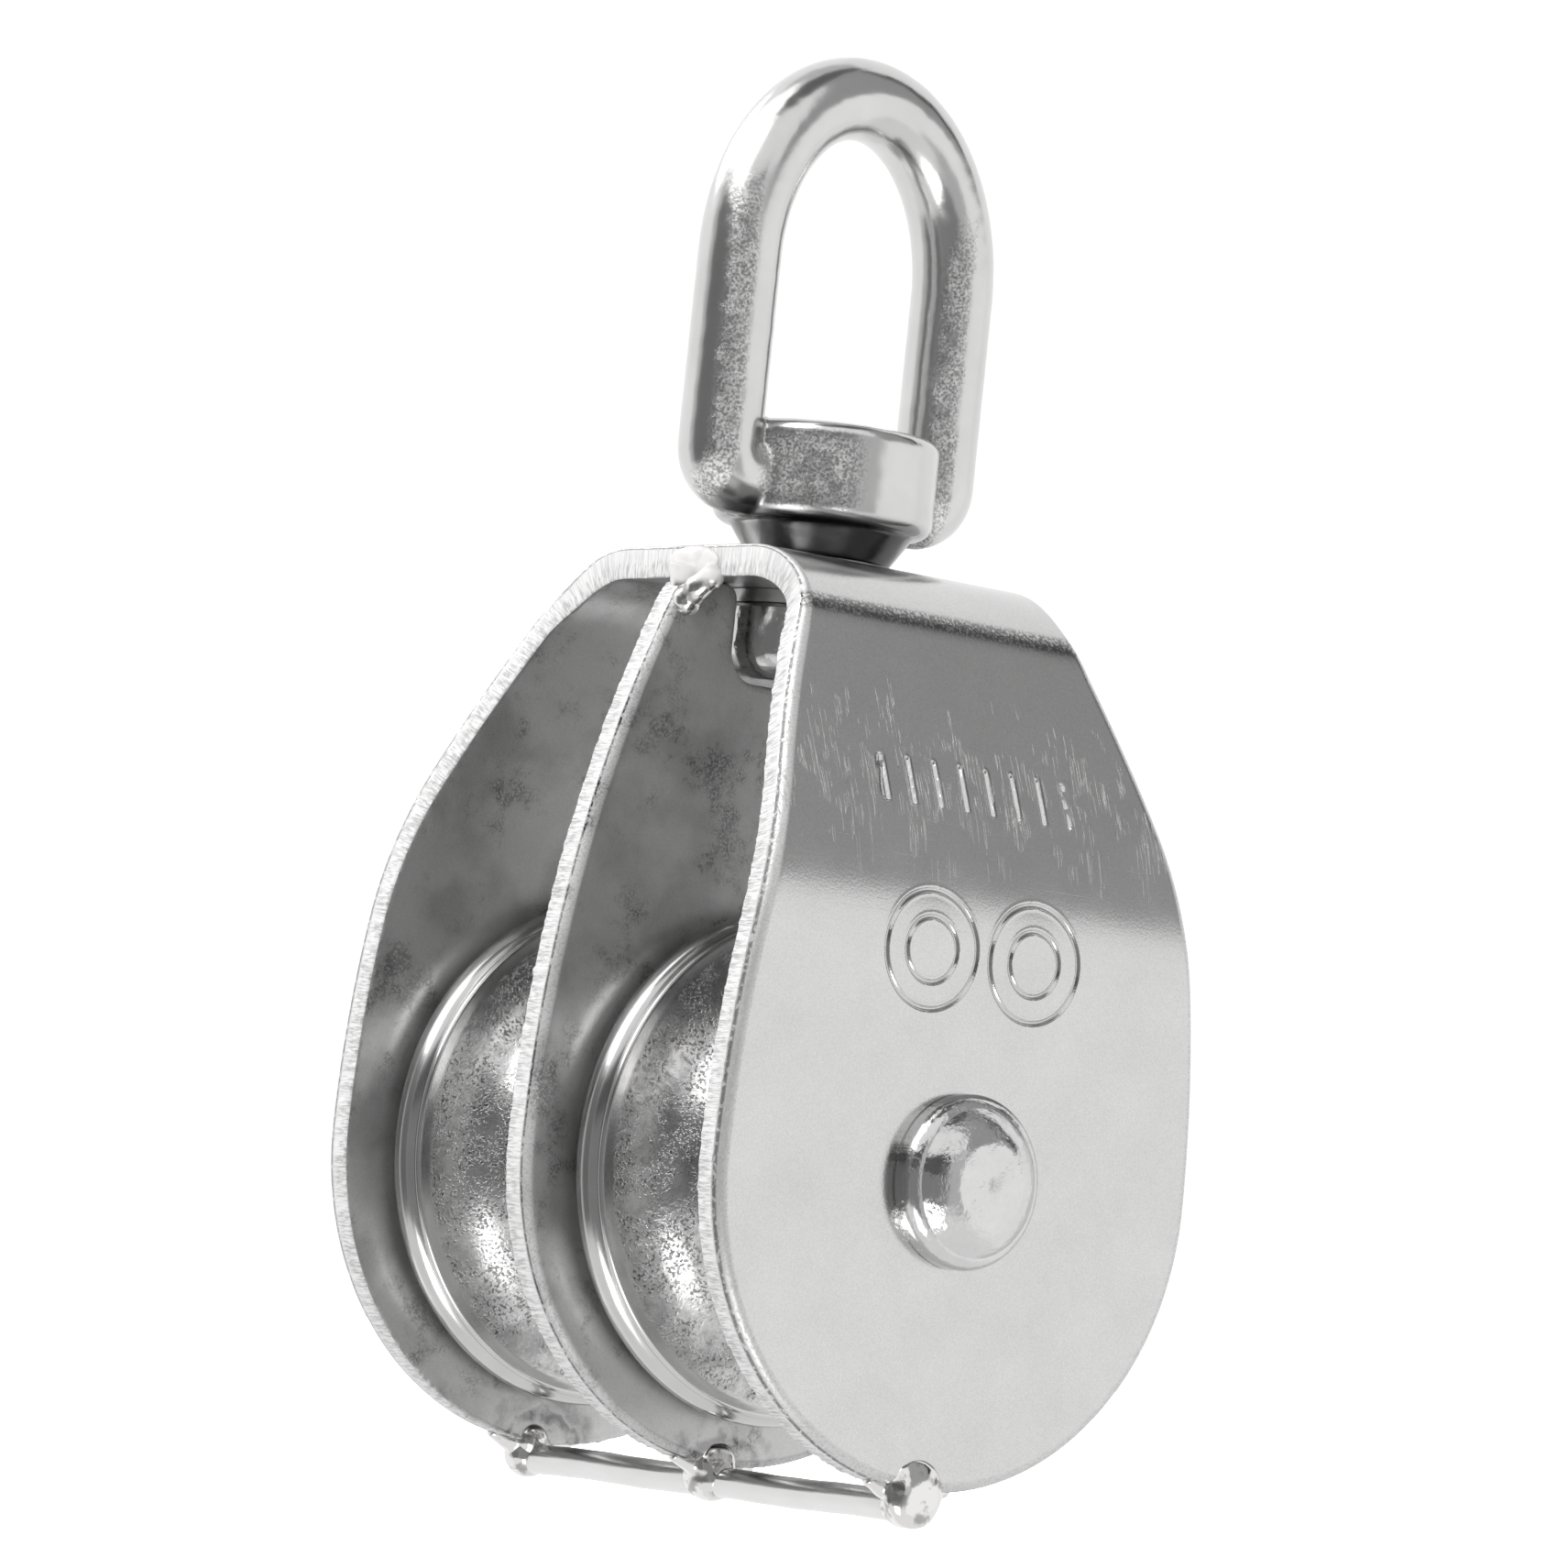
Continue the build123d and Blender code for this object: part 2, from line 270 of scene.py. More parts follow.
def melted(name, shapes, voxel, smooth, material, lumps=0.0, seed=0.0):
    """One skin over several overlapping shapes, with the joins between them rounded off."""
    vertices, faces = [], []
    for shape_vertices, shape_faces in shapes:
        start = len(vertices)
        vertices.extend([tuple(v) for v in shape_vertices])
        faces.extend([tuple(start + index for index in face) for face in shape_faces])
    rough = mesh_piece(name, vertices, faces, [material])
    remesh = rough.modifiers.new("skin", "REMESH")
    remesh.mode = "VOXEL"
    remesh.voxel_size = voxel * MM
    remesh.use_smooth_shade = True
    relax = rough.modifiers.new("relax", "SMOOTH")
    relax.factor = 0.5
    relax.iterations = smooth
    bpy.context.view_layer.update()
    skin = bpy.data.meshes.new_from_object(rough.evaluated_get(bpy.context.evaluated_depsgraph_get()))
    rough.modifiers.clear()
    rough.data = skin
    skin.name = name
    if lumps:
        points, normals = vertex_rows(skin, "co"), vertex_rows(skin, "normal")
        start, lumps_per_mm = Vector((seed, 0, 0)), 1.1
        swell = [noise.noise(Vector(point) / MM * lumps_per_mm + start) for point in points]
        points += normals * (np.array(swell) * lumps * MM)[:, None]
        skin.vertices.foreach_set("co", points.ravel())
    skin.shade_smooth()
    return rough


# ---- shader helpers

class Shader:
    """A metal's node tree, with short calls for the nodes its look is made from."""

    def __init__(self, name):
        self.material = bpy.data.materials.new(name)
        self.material.use_nodes = True
        self.tree = self.material.node_tree
        self.bsdf = self.tree.nodes["Principled BSDF"]
        self.bsdf.inputs["Metallic"].default_value = 1
        self.place = self.node("TexCoord").outputs["Object"]

    def node(self, kind):
        """New shader node of a kind."""
        return self.tree.nodes.new("ShaderNode" + kind)

    def put(self, socket, value):
        """Feed a socket from another node's output, or set it to a plain value."""
        if isinstance(value, bpy.types.NodeSocket):
            self.tree.links.new(value, socket)
        else:
            socket.default_value = value

    def math(self, operation, *values):
        """One arithmetic step on outputs and plain values."""
        node = self.node("Math")
        node.operation = operation
        for socket, value in zip(node.inputs, values):
            self.put(socket, value)
        return node.outputs[0]

    def times(self, value, *others):
        """Product of all the values."""
        for other in others:
            value = self.math("MULTIPLY", value, other)
        return value

    def plus(self, value, *others):
        """Sum of all the values."""
        for other in others:
            value = self.math("ADD", value, other)
        return value

    def less(self, value, other):
        """Difference of two values."""
        return self.math("SUBTRACT", value, other)

    def fade(self, value, low, high, out_low=0.0, out_high=1.0):
        """Smooth change from out_low to out_high as value goes from low to high."""
        node = self.node("MapRange")
        node.interpolation_type = "SMOOTHSTEP"
        for socket, given in zip(node.inputs, (value, low, high, out_low, out_high)):
            self.put(socket, given)
        return node.outputs[0]

    def window(self, value, low, high, soft):
        """1 between low and high, and 0 a soft distance outside them."""
        rise = self.fade(value, low - soft, low)
        fall = self.fade(value, high, high + soft)
        return self.less(rise, fall)

    def axes(self, vector=None):
        """The three parts of a vector, or of the place on the object."""
        node = self.node("SeparateXYZ")
        self.put(node.inputs[0], self.place if vector is None else vector)
        return node.outputs

    def stretched(self, x, y, z, vector=None):
        """Place with each axis multiplied, so that a texture draws out along an axis."""
        node = self.node("VectorMath")
        node.operation = "MULTIPLY"
        self.put(node.inputs[0], self.place if vector is None else vector)
        node.inputs[1].default_value = (x, y, z)
        return node.outputs[0]

    def edge(self):
        """Run along the edge, depth below the outer face and share of rolled corner, from edge_marks()."""
        node = self.node("Attribute")
        node.attribute_name = "edge"
        return node.outputs["Vector"]

    def radius(self, first, second):
        """Distance from the axis that is square to two others."""
        return self.math("SQRT", self.plus(self.times(first, first), self.times(second, second)))

    def rings(self, first, second, size, drawn_out):
        """Noise in fine rings about the axis that is square to two others."""
        node = self.node("CombineXYZ")
        self.put(node.inputs[0], self.radius(first, second))
        self.put(node.inputs[1], self.times(self.math("ARCTAN2", first, second), drawn_out * MM))
        return self.grain(size, 3.0, vector=node.outputs[0], seed=4.4)

    def grain(self, size, detail=2.0, vector=None, seed=0.0, roughness=0.5):
        """Noise from 0 to 1 whose spots are about size millimetres across."""
        node = self.node("TexNoise")
        node.noise_dimensions = "4D"
        self.put(node.inputs["Vector"], self.place if vector is None else vector)
        node.inputs["W"].default_value = seed
        node.inputs["Scale"].default_value = 1 / (size * MM)
        node.inputs["Detail"].default_value = detail
        node.inputs["Roughness"].default_value = roughness
        return node.outputs[0]

    def spots(self, size, detail, seed, low, high, out=(0.0, 1.0), **others):
        """Noise that is faded from low to high."""
        return self.fade(self.grain(size, detail, seed=seed, **others), low, high, *out)

    def distance(self, x, y, z):
        """Distance in millimetres from a point given in millimetres."""
        node = self.node("VectorMath")
        node.operation = "DISTANCE"
        self.put(node.inputs[0], self.place)
        node.inputs[1].default_value = (x * MM, y * MM, z * MM)
        return self.math("DIVIDE", node.outputs["Value"], MM)

    def mix(self, share, low, high):
        """Value that goes from low to high with share."""
        return self.plus(low, self.times(share, self.less(high, low)))

    def tone(self, brightness, warmth=0.0):
        """Base colour: a grey of this brightness, a little warmer or cooler."""
        node = self.node("CombineColor")
        self.put(node.inputs[0], self.times(brightness, 1 + warmth))
        self.put(node.inputs[1], brightness)
        self.put(node.inputs[2], self.times(brightness, 1 - warmth))
        self.put(self.bsdf.inputs["Base Color"], node.outputs[0])

    def roughness(self, value):
        """Dullness of the reflections."""
        self.put(self.bsdf.inputs["Roughness"], value)

    def metallic(self, value):
        """Share of bare metal, against a dull skin."""
        self.put(self.bsdf.inputs["Metallic"], value)

    def bump(self, height, depth):
        """Surface relief: height from 0 to 1 is this many millimetres deep."""
        node = self.node("Bump")
        node.inputs["Strength"].default_value = 1.0
        node.inputs["Distance"].default_value = depth * MM
        self.put(node.inputs["Height"], height)
        chain = self.bsdf.inputs["Normal"]
        if chain.is_linked:
            self.put(node.inputs["Normal"], chain.links[0].from_socket)
        self.put(chain, node.outputs[0])


# ---- materials

def grind_lines(s, x, z):
    """Upright scratches in ragged tufts on the +X cheek, about the row of bars."""
    lines = s.spots(1.0, 1.0, 2.0, 0.58, 0.64, vector=s.stretched(1.0, 13.0, 0.07))
    tufts = s.spots(1.0, 1.0, 6.0, 0.44, 0.56, vector=s.stretched(1.0, 0.5, 0.16))
    ragged = s.grain(1.0, 2.0, vector=s.stretched(0.5, 2.2, 0.15), seed=5.0)
    height = s.plus(s.math("DIVIDE", z, MM), s.fade(ragged, 0.3, 0.7, -3.0, 3.0))
    by_bars = s.window(height, BAR_Z - 3.1, BAR_Z + 2.9, 0.4)
    return s.times(lines, tufts, by_bars, s.fade(x, 10 * MM, 12 * MM))


def weld_heat(s, x, inside):
    """Two uneven rings of heat round the bottom welds, on the inner faces."""
    weld = s.distance(0, ROD_Y, ROD_Z)
    along = s.math("DIVIDE", x, MM)
    flat = s.less(s.times(weld, weld), s.times(along, along))
    flat = s.math("SQRT", s.math("MAXIMUM", 0.0, flat))
    flat = s.plus(flat, s.spots(1.6, 3.0, 16.0, 0.3, 0.7, (-0.35, 0.35)))
    rings = s.plus(s.times(s.window(flat, 2.7, 3.0, 0.4), 0.20), s.times(s.window(flat, 3.9, 4.2, 0.6), 0.12))
    return s.times(rings, inside, s.spots(1.3, 2.0, 17.0, 0.35, 0.6))


def bend_stain(s, x, z):
    """Dark speckled line along the shoulder of the +X cheek, where the sheet was held to be bent."""
    line = s.window(z, (SHELL_TOP - 3.9) * MM, (SHELL_TOP - 3.3) * MM, 0.4 * MM)
    speckle = s.spots(0.2, 3.0, 20.0, 0.42, 0.52)
    return s.times(line, s.fade(x, 10 * MM, 11 * MM), speckle)


def sheet_metal():
    """Polished sheet: smudges all over, clouds and stains inside, worn corners, a painted shade line along
    the rolled corner, and traces of work.
    """
    s = Shader("polished_sheet")
    x, _, z = s.axes()
    _, depth, corner = s.axes(s.edge())
    fine = s.grain(0.16, 2.0)
    speck = s.grain(0.09, 1.0, seed=3.0)
    smudge = s.grain(5.0, 4.0, seed=7.0, roughness=0.6)
    on_divider = s.fade(s.math("ABSOLUTE", x), 1.2 * MM, 1.6 * MM, 1.0, 0.0)
    inside = s.math("MAXIMUM", s.fade(depth, 1.2 * MM, 1.9 * MM), on_divider)
    cloudy = s.times(inside, s.spots(4.5, 3.0, 21.0, 0.42, 0.66))
    stain = s.times(s.spots(3.5, 5.0, 12.0, 0.50, 0.64, roughness=0.72), inside)
    stain = s.times(stain, s.spots(0.16, 2.0, 13.0, 0.36, 0.56))
    # Painted shade: a dark speckled line on the rolled corner, next to the cut face.
    rolled = s.times(s.window(depth, 0.44 * MM, 0.60 * MM, 0.10 * MM), corner)
    rolled = s.times(rolled, s.spots(0.35, 3.0, 14.0, 0.38, 0.50))
    worn = s.times(corner, s.spots(0.14, 2.0, 15.0, 0.48, 0.60))
    lines = grind_lines(s, x, z)
    hairs = s.spots(1.0, 2.0, 11.0, 0.62, 0.72, vector=s.stretched(1.2, 0.12, 9.0))
    hairs = s.times(hairs, s.window(z, 16 * MM, 24 * MM, 3 * MM))
    tone = s.less(s.mix(smudge, 0.53, 0.66), weld_heat(s, x, inside))
    darker = ((inside, -0.05), (cloudy, -0.14), (bend_stain(s, x, z), -0.32), (stain, -0.22),
              (rolled, -0.34), (worn, -0.06))
    for layer, change in darker:
        tone = s.plus(tone, s.times(layer, change))
    s.tone(s.plus(tone, s.fade(speck, 0.3, 0.7, -0.03, 0.03)), 0.004)
    rough = s.mix(smudge, 0.12, 0.24)
    for layer, change in ((inside, 0.12), (corner, 0.20), (s.plus(lines, worn), 0.20), (hairs, 0.12)):
        rough = s.plus(rough, s.times(layer, change))
    s.roughness(rough)
    s.metallic(s.less(s.mix(inside, 1.0, 0.80), s.times(corner, 0.3)))
    s.bump(s.plus(fine, s.times(speck, 0.5)), 0.0055)
    s.bump(s.times(s.grain(0.22, 2.0, seed=18.0), corner), 0.014)
    s.bump(s.plus(lines, s.times(stain, 0.25)), -0.02)
    return s.material


def cut_edge():
    """Sheared face of the sheet: pale, with fine marks across its thickness and a burnished side."""
    s = Shader("cut_edge")
    depth = s.axes(s.edge())[1]
    across = s.stretched(1.0, 0.14, 0.0, s.edge())
    marks = s.spots(0.12, 3.0, 4.0, 0.40, 0.66, vector=across, roughness=0.6)
    uneven = s.plus(depth, s.spots(1.2, 2.0, 19.0, 0.3, 0.7, (-0.3 * MM, 0.3 * MM)))
    burnished = s.fade(uneven, 0.9 * MM, 1.3 * MM, 1.0, 0.0)
    marks = s.times(marks, s.mix(burnished, 1.0, 0.6))
    grit = s.grain(0.12, 2.0, seed=9.0)
    s.metallic(0.10)
    s.tone(s.mix(marks, 0.70, 0.40), 0.002)
    s.roughness(s.mix(grit, 0.35, 0.6))
    s.bump(marks, -0.03)
    s.bump(grit, 0.015)
    return s.material


def rolled_steel():
    """Sheave: bright turned lips, and a groove with the mottled, pitted skin of pressed metal."""
    s = Shader("sheave_steel")
    _, y, z = s.axes()
    radius = s.math("DIVIDE", s.radius(y, z), MM)
    groove = s.fade(radius, 14.3, 14.7, 1.0, 0.0)
    blotch = s.grain(3.0, 3.0, seed=8.0)
    mottle = s.spots(0.9, 5.0, 1.0, 0.40, 0.62, roughness=0.72)
    pits = s.spots(0.20, 2.0, 6.0, 0.50, 0.64)
    pits = s.times(pits, s.spots(1.6, 3.0, 9.5, 0.38, 0.58))
    dark = s.plus(s.times(mottle, 0.14), s.times(pits, 0.30))
    s.tone(s.less(s.mix(blotch, 0.50, 0.66), s.times(dark, groove)), 0.004)
    s.roughness(s.plus(s.mix(blotch, 0.12, 0.24), s.times(groove, s.mix(mottle, 0.02, 0.10))))
    s.bump(s.times(s.grain(0.40, 4.0, seed=1.4, roughness=0.7), groove), 0.026)
    s.bump(s.times(pits, groove), -0.03)
    s.bump(s.rings(y, z, 0.25, 3.0), 0.006)
    return s.material


def sandy_legs(s, y, z, side):
    """Strip of sandy skin down each leg of the eye, where the polishing wheel missed."""
    off_leg = s.math("DIVIDE", s.less(s.math("ABSOLUTE", y), EYE_REACH * MM), EYE_BAR * MM)
    off_leg = s.times(off_leg, s.math("SIGN", y), side)
    off_leg = s.plus(off_leg, s.spots(1.0, 3.0, 6.5, 0.3, 0.7, (-0.05, 0.05)))
    strip = s.window(off_leg, -0.70, -0.34, 0.20)
    below_crown = s.fade(z, (EYE_SPRING + 1) * MM, (EYE_SPRING + 6) * MM, 1.0, 0.0)
    beside_collar = s.fade(s.math("ABSOLUTE", y), 6.2 * MM, 6.8 * MM)
    return s.times(strip, below_crown, beside_collar)


def sandy_collar(s, y, z, side):
    """Patch of sandy skin on the collar's wall."""
    across = s.window(s.times(y, side), -6.1 * MM, -3.6 * MM, 1.8 * MM)
    return s.times(across, s.window(z, (COLLAR_BOTTOM + 1.7) * MM, (COLLAR_TOP - 1.8) * MM, 1.6 * MM))


def cast_polish():
    """Eye and collar: polished casting with sandy skin left in places, and painted shade under the collar."""
    s = Shader("eye_steel")
    x, y, z = s.axes()
    side = s.math("SIGN", x)
    cloud = s.grain(3.0, 3.0, seed=3.5)
    sandy = s.math("MAXIMUM", sandy_legs(s, y, z, side), sandy_collar(s, y, z, side))
    sandy = s.times(sandy, s.spots(1.6, 2.0, 7.5, 0.30, 0.60, (0.45, 1.0)))
    # Painted shade: the boss and the foot of the collar are darkened in the gap over the strip.
    collar_gap_shade = s.fade(z, (COLLAR_BOTTOM - 0.3) * MM, (COLLAR_BOTTOM + 0.9) * MM, 0.50, 0.0)
    dots = s.spots(0.17, 3.0, 22.0, 0.38, 0.62, (-0.33, 0.24), roughness=0.6)
    clean = s.less(s.mix(cloud, 0.55, 0.68), collar_gap_shade)
    s.tone(s.plus(s.times(sandy, dots), clean), 0.004)
    s.roughness(s.mix(sandy, 0.19, 0.30))
    s.bump(s.times(s.grain(0.20, 5.0, seed=1.5, roughness=0.85), sandy), 0.045)
    s.bump(s.grain(0.2, 2.0, seed=2.5), 0.003)
    s.bump(s.grain(2.5, 1.0, seed=5.5), 0.012)
    return s.material


def turned_steel(name, about_x):
    """Axle heads or stud: bright metal with fine tool rings about its axis, smears and small nicks."""
    s = Shader(name)
    x, y, z = s.axes()
    first, second = (y, z) if about_x else (x, y)
    rings = s.rings(first, second, 0.18, 1.6)
    brushed = s.spots(2.0, 3.0, 3.8, 0.36, 0.60)
    cloud = s.grain(1.8, 3.0, seed=2.2)
    nick = s.spots(0.5, 1.0, 7.7, 0.66, 0.72)
    s.tone(s.less(s.mix(cloud, 0.60, 0.72), s.times(rings, 0.06)), 0.003)
    s.roughness(s.plus(s.mix(cloud, 0.10, 0.20), s.times(nick, 0.15)))
    s.bump(s.times(rings, brushed), 0.05)
    s.bump(s.grain(0.9, 3.0, seed=4.1), 0.02)
    s.bump(nick, -0.006)
    return s.material


def drawn_steel():
    """Rod: drawn metal with long faint lines along it and dull smears."""
    s = Shader("rod_steel")
    lines = s.grain(0.12, 2.0, vector=s.stretched(0.05, 1.0, 1.0), seed=5.1)
    smear = s.grain(1.5, 3.0, vector=s.stretched(0.4, 1.0, 1.0), seed=2.7)
    s.tone(s.mix(smear, 0.62, 0.78), 0.003)
    s.roughness(s.mix(smear, 0.16, 0.30))
    s.bump(lines, 0.008)
    return s.material


def weld_metal():
    """Frozen weld: ripples, dark oxide in the hollows, and a dull skin where it's smeared on the cut face."""
    s = Shader("weld_steel")
    height = s.axes()[2]
    smeared = s.fade(height, (SHELL_TOP - 2.7) * MM, (SHELL_TOP - 2.1) * MM)
    oxide = s.spots(1.1, 3.0, 8.8, 0.52, 0.66)
    oxide = s.times(oxide, s.mix(smeared, 1.0, 0.25))
    s.metallic(s.mix(smeared, 1.0, 0.15))
    s.tone(s.mix(smeared, s.mix(oxide, 0.74, 0.40), s.mix(oxide, 0.64, 0.42)), 0.010)
    s.roughness(s.mix(smeared, s.mix(oxide, 0.12, 0.30), 0.55))
    s.bump(s.grain(0.7, 2.0, seed=3.3), 0.02)
    s.bump(s.grain(0.15, 2.0, seed=1.1), 0.004)
    return s.material


def bronze():
    """Bush: machined bronze, dulled in patches."""
    s = Shader("bush_bronze")
    patch = s.grain(1.5, 3.0, seed=6.6)
    s.tone(s.mix(patch, 0.42, 0.58), 0.28)
    s.roughness(s.mix(patch, 0.22, 0.42))
    s.bump(s.grain(0.3, 2.0, vector=s.stretched(5.0, 1.0, 1.0)), 0.006)
    return s.material


def washer_steel():
    """Thin washers: pressed sheet with a dull, slightly worn face."""
    s = Shader("washer_steel")
    wear = s.grain(0.8, 3.0, seed=5.0)
    s.tone(s.mix(wear, 0.60, 0.80), 0.004)
    s.roughness(s.mix(wear, 0.22, 0.38))
    s.bump(s.grain(0.2, 2.0, seed=2.0), 0.006)
    return s.material


# ---- sheet parts

def bend_path():
    """Outer face of the +X half of the strip, as straight and curved stretches from the top middle down."""
    turn_top = math.pi / 2 - BEND_SLANT
    tangent_top = SHOULDER_RADIUS * math.tan(turn_top / 2)
    tangent_knee = BEND_RADIUS * math.tan(BEND_SLANT / 2)
    shoulder_x = HALF_WIDTH - (SHELL_TOP - BEND_HEIGHT) * math.tan(BEND_SLANT)
    slant = math.hypot(HALF_WIDTH - shoulder_x, SHELL_TOP - BEND_HEIGHT)
    return [
        (shoulder_x - tangent_top, None, 0.0),
        (SHOULDER_RADIUS * turn_top, SHOULDER_RADIUS, turn_top),
        (slant - tangent_top - tangent_knee, None, 0.0),
        (BEND_RADIUS * BEND_SLANT, BEND_RADIUS, BEND_SLANT),
        (BEND_HEIGHT - tangent_knee + PLATE_RADIUS, None, 0.0),
    ]


def fold(along, depth):
    """Place (x, z) of points of the flat strip once it's bent, from their distance along it and depth."""
    distance = np.abs(along)
    x, z, turned, run = 0.0, SHELL_TOP, 0.0, 0.0
    out_x, out_z = np.zeros_like(distance), np.zeros_like(distance)
    stretches = bend_path()
    for index, (length, radius, turn) in enumerate(stretches):
        last = index == len(stretches) - 1
        here = (distance >= run - 1e-9) & ((distance < run + length) | last)
        part = distance[here] - run
        normal = math.pi / 2 - turned
        if radius is None:
            out_x[here] = x + part * math.sin(normal) - depth[here] * math.cos(normal)
            out_z[here] = z - part * math.cos(normal) - depth[here] * math.sin(normal)
            x += length * math.sin(normal)
            z -= length * math.cos(normal)
        else:
            centre_x, centre_z = x - radius * math.cos(normal), z - radius * math.sin(normal)
            angle = normal - part / radius
            out_x[here] = centre_x + (radius - depth[here]) * np.cos(angle)
            out_z[here] = centre_z + (radius - depth[here]) * np.sin(angle)
            turned += turn
            x = centre_x + radius * math.cos(math.pi / 2 - turned)
            z = centre_z + radius * math.sin(math.pi / 2 - turned)
        run += length
    return out_x * np.where(along < 0, -1, 1), out_z


def strip_length():
    """Distance from the top middle of the strip to the foot of a cheek."""
    return sum(length for length, radius, turn in bend_path())


def bent_heights():
    """Even distances from the top middle down half the strip, and the height of each once it's bent."""
    samples = np.linspace(0, strip_length(), 4000)
    return samples, fold(samples, np.zeros_like(samples))[1]


def strip_outline():
    """Half outline of the flat strip, from the +X foot over the top to the -X foot, on the +Y side."""
    side_centre = PLATE_RADIUS - SIDE_RADIUS
    corner_y = STRIP_HALF_WIDTH + STRIP_CORNER
    corner_z = math.sqrt((SIDE_RADIUS + STRIP_CORNER) ** 2 - (corner_y - side_centre) ** 2)
    lean = math.degrees(math.asin(corner_z / (SIDE_RADIUS + STRIP_CORNER)))
    foot = arc_about((0, 0), PLATE_RADIUS, -90, 0, 60)
    side = arc_about((side_centre, 0), SIDE_RADIUS, 0, lean, 60)[1:]
    corner = arc_about((corner_y, corner_z), STRIP_CORNER, 180 + lean, 180, 12)[1:]
    upright = foot + side + corner
    samples, heights = bent_heights()
    rising = heights[::-1] + np.linspace(0, 1e-6, len(heights))
    half = [(np.interp(z, rising, samples[::-1]), y) for y, z in upright]
    return evenly(half + mirrored(half), EDGE_STEP)


def edge_profile(roll):
    """(distance in from the cut, depth) round the edge of the sheet: rolled corner, cut face, small burr."""
    angles = np.linspace(0, math.pi / 2, ROLL_POINTS)
    rolled = [(roll * (1 - math.sin(t)), roll * (1 - math.cos(t))) for t in angles]
    cut = [(0.0, depth) for depth in np.linspace(roll, SHEET - BURR, CUT_POINTS)[1:]]
    return [(roll + 0.25, 0.0)] + rolled + cut + [(BURR, SHEET), (BURR + 0.27, SHEET)]


def tooth(run, depth, seed):
    """How far the sheared face stands in or out at a place along the edge, in millimetres."""
    ridge_height, crack_height = 0.09, 0.06
    ridge = noise.noise(Vector((run * 2.1, depth * 0.25, seed)))
    crack = noise.noise(Vector((run * 5.5, depth * 0.8, seed + 20)))
    return ridge_height * ridge + crack_height * crack


def edge_band(loop, profile, narrowed, seed):
    """Points (n, m, 3) of a flat sheet's edge: along, across, depth. Narrowed scales its rolled corner."""
    normal = inward(loop)
    count = len(loop)
    band = np.zeros((count, len(profile), 3))
    for column, (inset, depth) in enumerate(profile):
        share = narrowed if column <= ROLL_POINTS else np.ones(count)
        band[:, column, :2] = loop + normal * (inset * share)[:, None]
        band[:, column, 2] = depth * share
    cut_columns = [column for column, (inset, _) in enumerate(profile) if inset == 0.0]
    for row in range(count):
        for column in cut_columns[1:]:
            band[row, column, :2] -= normal[row] * tooth(row * EDGE_STEP, profile[column][1], seed)
    return band


def edge_marks(piece, count, profile, roll, inner_from, inner_to):
    """Store each edge point's run and depth, and whether it's on the corner. Inner points are all deep."""
    marks = np.zeros((len(piece.data.vertices), 3))
    run = np.repeat(np.arange(count) * EDGE_STEP, len(profile))
    depth = np.tile([deep for _, deep in profile], count)
    on_corner = [float(deep < roll and 0 < inset < roll) for inset, deep in profile]
    corner = np.tile(on_corner, count)
    marks[:count * len(profile)] = np.stack((run * MM, depth * MM, corner), 1)
    marks[inner_from:inner_to, 1] = SHEET * MM
    attribute = piece.data.attributes.new("edge", "FLOAT_VECTOR", "POINT")
    attribute.data.foreach_set("vector", marks.ravel())


def band_faces(count, columns):
    """Quads round a closed band of points."""
    faces = []
    for row in range(count):
        after = (row + 1) % count
        for column in range(columns - 1):
            faces.append((row * columns + column, after * columns + column,
                          after * columns + column + 1, row * columns + column + 1))
    return faces


def fill_rows(vertices, ring, shares):
    """Faces across a symmetric closed ring of vertices, in rows of new points at these shares across."""
    count = len(ring)
    half = count // 2
    faces, rows = [], []
    for start in range(ROW_STEP, half, ROW_STEP):
        right, left = ring[start], ring[count - start]
        a, b = np.array(vertices[left]), np.array(vertices[right])
        row = [left]
        for share in shares:
            row.append(len(vertices))
            vertices.append(tuple(a + (b - a) * share))
        rows.append(row + [right])
    for index in range(len(rows) - 1):
        low, high = rows[index], rows[index + 1]
        place = (index + 1) * ROW_STEP
        for column in range(1, len(low) - 2):
            faces.append((low[column], low[column + 1], high[column + 1], high[column]))
        right_run = [ring[place + step] for step in range(ROW_STEP + 1)]
        faces.append((low[-2], *right_run, high[-2]))
        left_run = [ring[count - place - step] for step in range(ROW_STEP + 1)]
        faces.append((low[1], *left_run, high[1]))
    first = [ring[(count - ROW_STEP + step) % count] for step in range(2 * ROW_STEP + 1)]
    faces.append((*first, *reversed(rows[0][1:-1])))
    end = len(rows) * ROW_STEP
    last = [ring[end + step] for step in range(2 * (half - end) + 1)]
    faces.append((*last, *rows[-1][1:-1]))
    return faces


def groove_depth(distance):
    """Depth of a stamped line at a distance from its middle, with a slightly raised lip."""
    lip_height, lip_width = 0.018, 0.09
    inside = np.clip(1 - (distance / (MARK_HALF_LINE * 1.35)) ** 2, 0, 1)
    lip = np.exp(-((distance - MARK_HALF_LINE * 1.8) / lip_width) ** 2)
    return MARK_DEPTH * inside - lip_height * lip


def mark_distance(y, z):
    """Distance from each point to the nearest stamped line."""
    far = 9.0
    nearest = np.full_like(y, far)
    for side in (-1, 1):
        from_centre = np.hypot(y - side * RING_Y, z - RING_Z)
        for radius in RING_RADII:
            nearest = np.minimum(nearest, np.abs(from_centre - radius))
    for index in range(BAR_COUNT):
        bar_y = (index - (BAR_COUNT - 1) / 2) * BAR_PITCH
        beyond = np.maximum(np.abs(z - BAR_Z) - BAR_HALF_HEIGHT, 0)
        nearest = np.minimum(nearest, np.hypot(y - bar_y, beyond))
    return nearest


